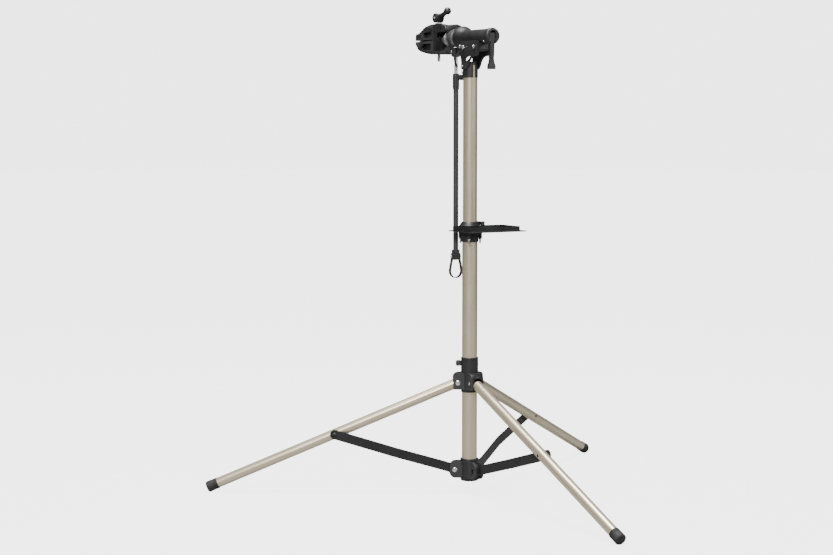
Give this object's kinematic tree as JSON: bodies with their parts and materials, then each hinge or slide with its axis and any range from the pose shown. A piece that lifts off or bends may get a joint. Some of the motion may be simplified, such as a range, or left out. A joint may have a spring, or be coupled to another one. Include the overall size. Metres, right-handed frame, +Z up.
{
  "type": "bike repair stand",
  "caption": "Folding three-legged bicycle repair stand: telescopic mast, swivelling jaw clamp on a short arm, tool tray and a hanging stabiliser rod with a strap.",
  "frame": {"origin": "on the floor, at the centre of the footprint's box", "axes": "+Z up the mast; +X the way the clamp reaches; the mast's axis is at x = +160.7 mm, y = 0"},
  "size_m": [1.0008, 1.1518, 1.209],
  "materials": {
    "tube": "satin champagne anodised",
    "steel": "bright zinc",
    "steel_black": "black powder coat",
    "rubber": "matte",
    "plastic_black": "fine-grained moulded plastic"
  },
  "bodies": {
    "mast": {"outer_tube": "tube", "lower_hub": "plastic_black", "strut_bolt_F": "steel", "strut_bolt_L": "steel", "strut_bolt_R": "steel", "mast_clamp": "plastic_black", "clamp_ring": "plastic_black", "tray": "steel_black", "tray_screw_A": "steel", "tray_screw_B": "steel", "tray_screw_C": "steel"},
    "mast_lever": {"clamp_lever": "plastic_black"},
    "hub": {"upper_hub": "plastic_black", "leg_bolt_F": "steel", "leg_bolt_L": "steel", "leg_bolt_R": "steel", "lock_bolt": "steel"},
    "hub_lock": {"hub_lever": "plastic_black"},
    "inner_mast": {"inner_tube": "tube", "neck_bracket": "plastic_black", "neck_screw": "steel", "arm_barrel": "plastic_black", "arm_bolt_front": "steel", "arm_bolt_rear": "steel", "arm_end_cap": "plastic_black", "friction_washer": "rubber", "lever_pin": "steel"},
    "arm_release": {"arm_lever": "plastic_black"},
    "pull_rod": {"draw_rod": "steel"},
    "clamp": {"clamp_shaft": "steel", "lower_jaw": "plastic_black", "lower_pad": "rubber", "jaw_pin": "steel"},
    "moving_jaw": {"upper_jaw": "plastic_black", "upper_pad": "rubber"},
    "thrust_block": {"thrust_washer": "steel"},
    "screw": {"spindle": "steel"},
    "cam": {"cam_lever": "plastic_black", "ball_knob": "plastic_black"},
    "rod_hanger": {"upper_strap": "rubber", "upper_yoke": "plastic_black", "rod_inner": "steel"},
    "rod_slider": {"rod_outer": "steel_black", "rod_collar": "plastic_black", "lower_yoke": "plastic_black", "lower_strap": "rubber"},
    "rod_screw": {"thumbscrew": "plastic_black"},
    "leg_F_body": {"leg_F": "tube", "foot_cap_F": "rubber"},
    "strut_F_body": {"strut_F": "steel_black", "strut_rivet_F": "steel_black"},
    "leg_L_body": {"leg_L": "tube", "foot_cap_L": "rubber"},
    "strut_L_body": {"strut_L": "steel_black", "strut_rivet_L": "steel_black"},
    "leg_R_body": {"leg_R": "tube", "foot_cap_R": "rubber"},
    "strut_R_body": {"strut_R": "steel_black", "strut_rivet_R": "steel_black"}
  },
  "joints": [
    {"name": "hub_slide", "type": "slide", "parent": "mast", "child": "hub", "axis": [0, 0, 1], "range_m": [0, 0.285]},
    {"name": "leg_F_fold", "type": "hinge", "parent": "hub", "child": "leg_F_body", "pos_m": [0.13208, 0, 0.2785], "axis": [0, -1, 0], "range_deg": [0, 29]},
    {"name": "strut_F_fold", "type": "hinge", "parent": "mast", "child": "strut_F_body", "pos_m": [0.12428, 0, 0.06], "axis": [0, 1, 0], "range_deg": [0, 34.5]},
    {"name": "leg_L_fold", "type": "hinge", "parent": "hub", "child": "leg_L_body", "pos_m": [0.17498, 0.02477, 0.2785], "axis": [-0.866, 0.5, 0], "range_deg": [0, 29]},
    {"name": "strut_L_fold", "type": "hinge", "parent": "mast", "child": "strut_L_body", "pos_m": [0.17888, 0.03152, 0.06], "axis": [0.866, -0.5, 0], "range_deg": [0, 34.5]},
    {"name": "leg_R_fold", "type": "hinge", "parent": "hub", "child": "leg_R_body", "pos_m": [0.17498, -0.02477, 0.2785], "axis": [0.866, 0.5, 0], "range_deg": [0, 29]},
    {"name": "strut_R_fold", "type": "hinge", "parent": "mast", "child": "strut_R_body", "pos_m": [0.17888, -0.03152, 0.06], "axis": [-0.866, -0.5, 0], "range_deg": [0, 34.5]},
    {"name": "hub_lever_turn", "type": "hinge", "parent": "hub", "child": "hub_lock", "pos_m": [0.18872, 0.01557, 0.3265], "axis": [0, 0, 1], "range_deg": [0, 65]},
    {"name": "mast_slide", "type": "slide", "parent": "mast", "child": "inner_mast", "axis": [0, 0, 1], "range_m": [-0.35, 0.06]},
    {"name": "mast_lever_turn", "type": "hinge", "parent": "mast", "child": "mast_lever", "pos_m": [0.14869, -0.02967, 0.6738], "axis": [0, 0, -1], "range_deg": [0, 100]},
    {"name": "arm_lever_turn", "type": "hinge", "parent": "inner_mast", "child": "arm_release", "pos_m": [0.06068, 0, 1.134], "axis": [0, 1, 0], "range_deg": [0, 100]},
    {"name": "pull_rod_slide", "type": "slide", "parent": "inner_mast", "child": "pull_rod", "axis": [1, 0, 0], "range_m": [0, 0.0015]},
    {"name": "clamp_turn", "type": "hinge", "parent": "inner_mast", "child": "clamp", "pos_m": [0.23068, 0, 1.1295], "axis": [1, 0, 0], "continuous": true},
    {"name": "jaw_open", "type": "hinge", "parent": "clamp", "child": "moving_jaw", "pos_m": [0.26468, 0, 1.155], "axis": [0, -1, 0], "range_deg": [0, 20]},
    {"name": "spindle_lift", "type": "slide", "parent": "clamp", "child": "thrust_block", "axis": [0, 0, 1], "range_m": [0, 0.0251]},
    {"name": "spindle_turn", "type": "hinge", "parent": "thrust_block", "child": "screw", "pos_m": [0.31668, 0, 1.18], "axis": [0, 0, 1], "range_deg": [0, 721]},
    {"name": "cam_lever_turn", "type": "hinge", "parent": "screw", "child": "cam", "pos_m": [0.31668, 0, 1.184], "axis": [0, 1, 0], "range_deg": [0, 110]},
    {"name": "rod_swing", "type": "hinge", "parent": "inner_mast", "child": "rod_hanger", "pos_m": [0.23068, 0, 1.1295], "axis": [1, 0, 0], "range_deg": [-150, 150]},
    {"name": "rod_extend", "type": "slide", "parent": "rod_hanger", "child": "rod_slider", "axis": [0, 0, -1], "range_m": [-0.012, 0.3]},
    {"name": "thumbscrew_turn", "type": "hinge", "parent": "rod_slider", "child": "rod_screw", "pos_m": [0.23068, 0, 1.034], "axis": [0, 1, 0], "range_deg": [0, 360]}
  ],
  "couplings": [
    {"joint": "leg_F_fold", "follows": "hub_slide", "rad_per_m": 1.773},
    {"joint": "strut_F_fold", "follows": "hub_slide", "rad_per_m": 2.1067},
    {"joint": "leg_L_fold", "follows": "hub_slide", "rad_per_m": 1.773},
    {"joint": "strut_L_fold", "follows": "hub_slide", "rad_per_m": 2.1067},
    {"joint": "leg_R_fold", "follows": "hub_slide", "rad_per_m": 1.773},
    {"joint": "strut_R_fold", "follows": "hub_slide", "rad_per_m": 2.1067},
    {"joint": "pull_rod_slide", "follows": "arm_lever_turn", "m_per_rad": 0.00085},
    {"joint": "spindle_lift", "follows": "jaw_open", "m_per_rad": 0.07162},
    {"joint": "spindle_turn", "follows": "jaw_open", "ratio": 36}
  ]
}
